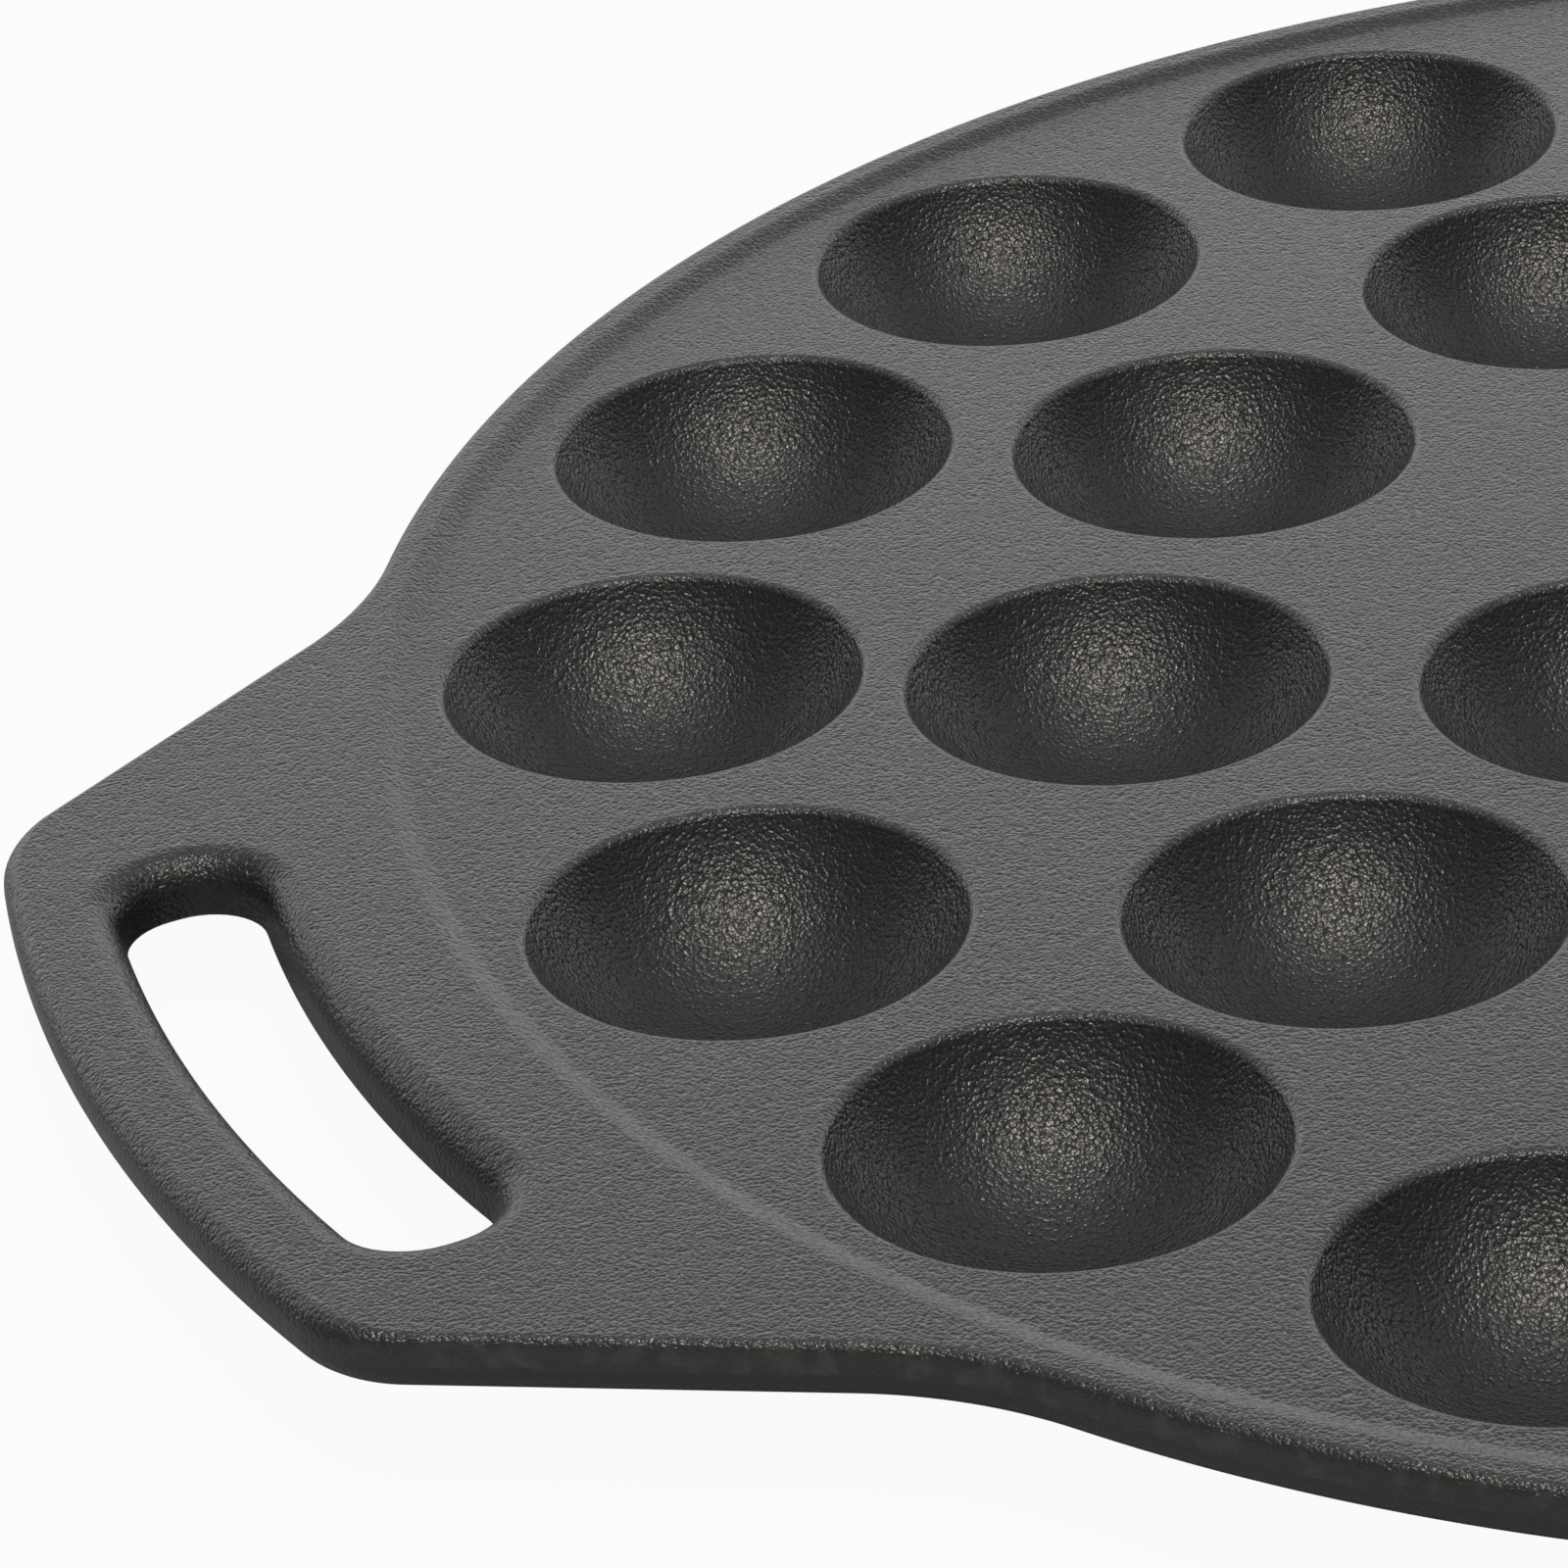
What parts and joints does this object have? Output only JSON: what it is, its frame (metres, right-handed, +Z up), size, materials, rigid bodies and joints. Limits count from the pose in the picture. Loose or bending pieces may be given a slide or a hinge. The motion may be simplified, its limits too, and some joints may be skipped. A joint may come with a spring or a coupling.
{
  "type": "poffertjes pan",
  "caption": "Round cast-iron griddle pan with a plate of shallow round cups for small puffed pancakes, a low raised rim and a slotted loop handle at each end.",
  "frame": {"origin": "below the centre of the pan, on the surface that the flat feet of its cups stand on", "axes": "+X from the pan's centre through the right handle, +Y to the back of the rim, +Z up"},
  "size_m": [0.37, 0.3044, 0.0164],
  "materials": {
    "cast_iron": "sand-cast, oiled, matte"
  },
  "bodies": {
    "root": {"inner_cup_01": "cast_iron", "inner_cup_02": "cast_iron", "inner_cup_03": "cast_iron", "inner_cup_04": "cast_iron", "middle_cup_01": "cast_iron", "middle_cup_02": "cast_iron", "middle_cup_03": "cast_iron", "middle_cup_04": "cast_iron", "middle_cup_05": "cast_iron", "middle_cup_06": "cast_iron", "middle_cup_07": "cast_iron", "middle_cup_08": "cast_iron", "middle_cup_09": "cast_iron", "middle_cup_10": "cast_iron", "outer_cup_01": "cast_iron", "outer_cup_02": "cast_iron", "outer_cup_03": "cast_iron", "outer_cup_04": "cast_iron", "outer_cup_05": "cast_iron", "outer_cup_06": "cast_iron", "outer_cup_07": "cast_iron", "outer_cup_08": "cast_iron", "outer_cup_09": "cast_iron", "outer_cup_10": "cast_iron", "outer_cup_11": "cast_iron", "outer_cup_12": "cast_iron", "outer_cup_13": "cast_iron", "outer_cup_14": "cast_iron", "outer_cup_15": "cast_iron", "outer_cup_16": "cast_iron", "right_handle": "cast_iron", "rim_back": "cast_iron", "left_handle": "cast_iron", "rim_front": "cast_iron"}
  },
  "joints": []
}
